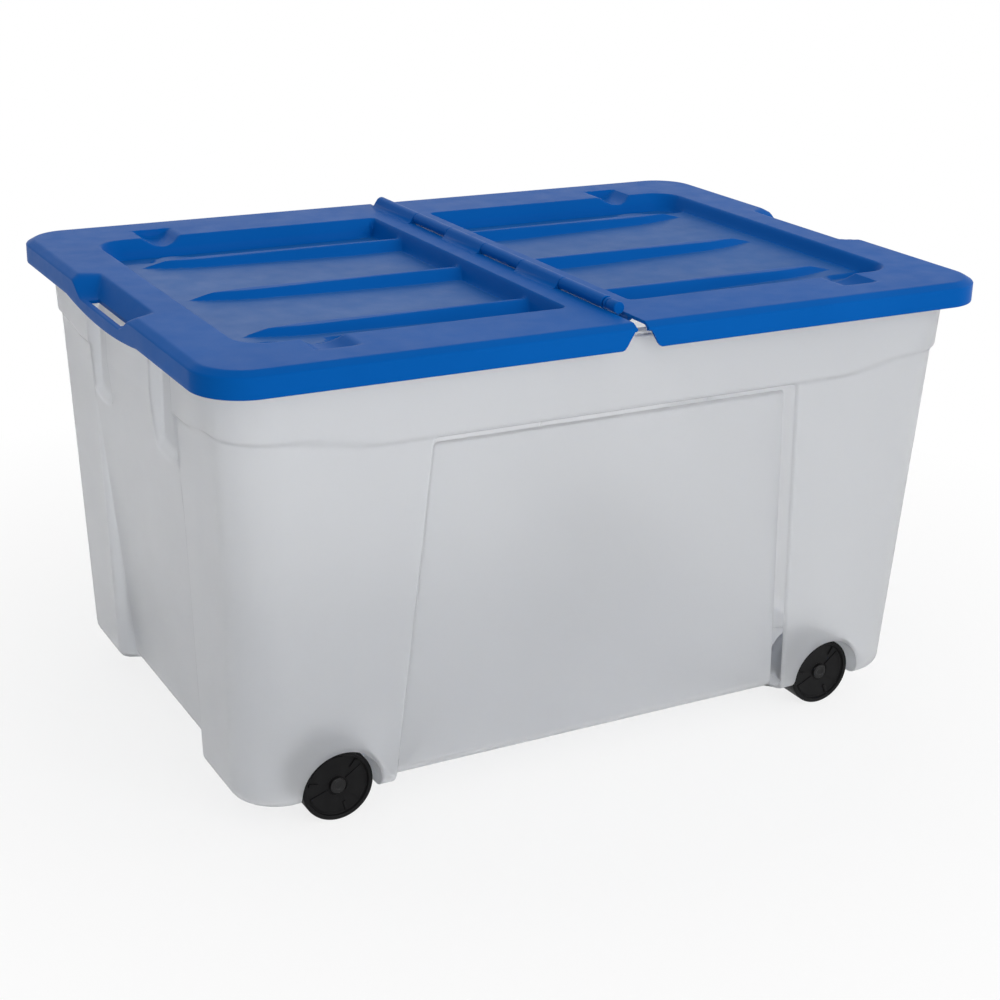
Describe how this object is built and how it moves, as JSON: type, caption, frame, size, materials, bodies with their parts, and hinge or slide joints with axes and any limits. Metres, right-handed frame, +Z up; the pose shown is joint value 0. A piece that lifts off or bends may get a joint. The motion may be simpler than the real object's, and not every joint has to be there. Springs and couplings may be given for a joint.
{
  "type": "wheeled storage box",
  "caption": "Tall translucent storage tub on small wheels, with a folding lid of two halves on a centre hinge and hand grips at both ends.",
  "frame": {"origin": "on the floor under the middle of the tub, at the centre of the bottom of the bounding box", "axes": "+X along the box's length, +Y to the back, +Z up; the hinge line of the lid runs along Y over the middle"},
  "size_m": [0.8, 0.565, 0.4583],
  "materials": {
    "tub_plastic": "satin, translucent natural polypropylene",
    "lid_plastic": "satin gloss, saturated blue",
    "wheel_plastic": "matte black",
    "axle_plastic": "matte black"
  },
  "bodies": {
    "tub": {"tub": "tub_plastic", "axle_front_left": "axle_plastic", "axle_front_right": "axle_plastic", "axle_rear_left": "axle_plastic", "axle_rear_right": "axle_plastic"},
    "hinge_rod": {"hinge_rod": "lid_plastic"},
    "lid_left": {"lid_left": "lid_plastic"},
    "lid_right": {"lid_right": "lid_plastic"},
    "wheel_front_left": {"wheel_front_left": "wheel_plastic"},
    "wheel_front_right": {"wheel_front_right": "wheel_plastic"},
    "wheel_rear_left": {"wheel_rear_left": "wheel_plastic"},
    "wheel_rear_right": {"wheel_rear_right": "wheel_plastic"}
  },
  "joints": [
    {"name": "lid_lift", "type": "slide", "parent": "tub", "child": "hinge_rod", "axis": [0, 0, 1], "range_m": [0, 0.25]},
    {"name": "lid_left_fold", "type": "hinge", "parent": "hinge_rod", "child": "lid_left", "pos_m": [0, 0, 0.452], "axis": [0, 1, 0], "range_deg": [0, 180]},
    {"name": "lid_right_fold", "type": "hinge", "parent": "hinge_rod", "child": "lid_right", "pos_m": [0, 0, 0.452], "axis": [0, -1, 0], "range_deg": [0, 180]},
    {"name": "wheel_front_left_spin", "type": "hinge", "parent": "tub", "child": "wheel_front_left", "pos_m": [-0.271, -0.217, 0.0345], "axis": [0, 1, 0], "continuous": true},
    {"name": "wheel_front_right_spin", "type": "hinge", "parent": "tub", "child": "wheel_front_right", "pos_m": [0.271, -0.217, 0.0345], "axis": [0, 1, 0], "continuous": true},
    {"name": "wheel_rear_left_spin", "type": "hinge", "parent": "tub", "child": "wheel_rear_left", "pos_m": [-0.271, 0.217, 0.0345], "axis": [0, 1, 0], "continuous": true},
    {"name": "wheel_rear_right_spin", "type": "hinge", "parent": "tub", "child": "wheel_rear_right", "pos_m": [0.271, 0.217, 0.0345], "axis": [0, 1, 0], "continuous": true}
  ]
}
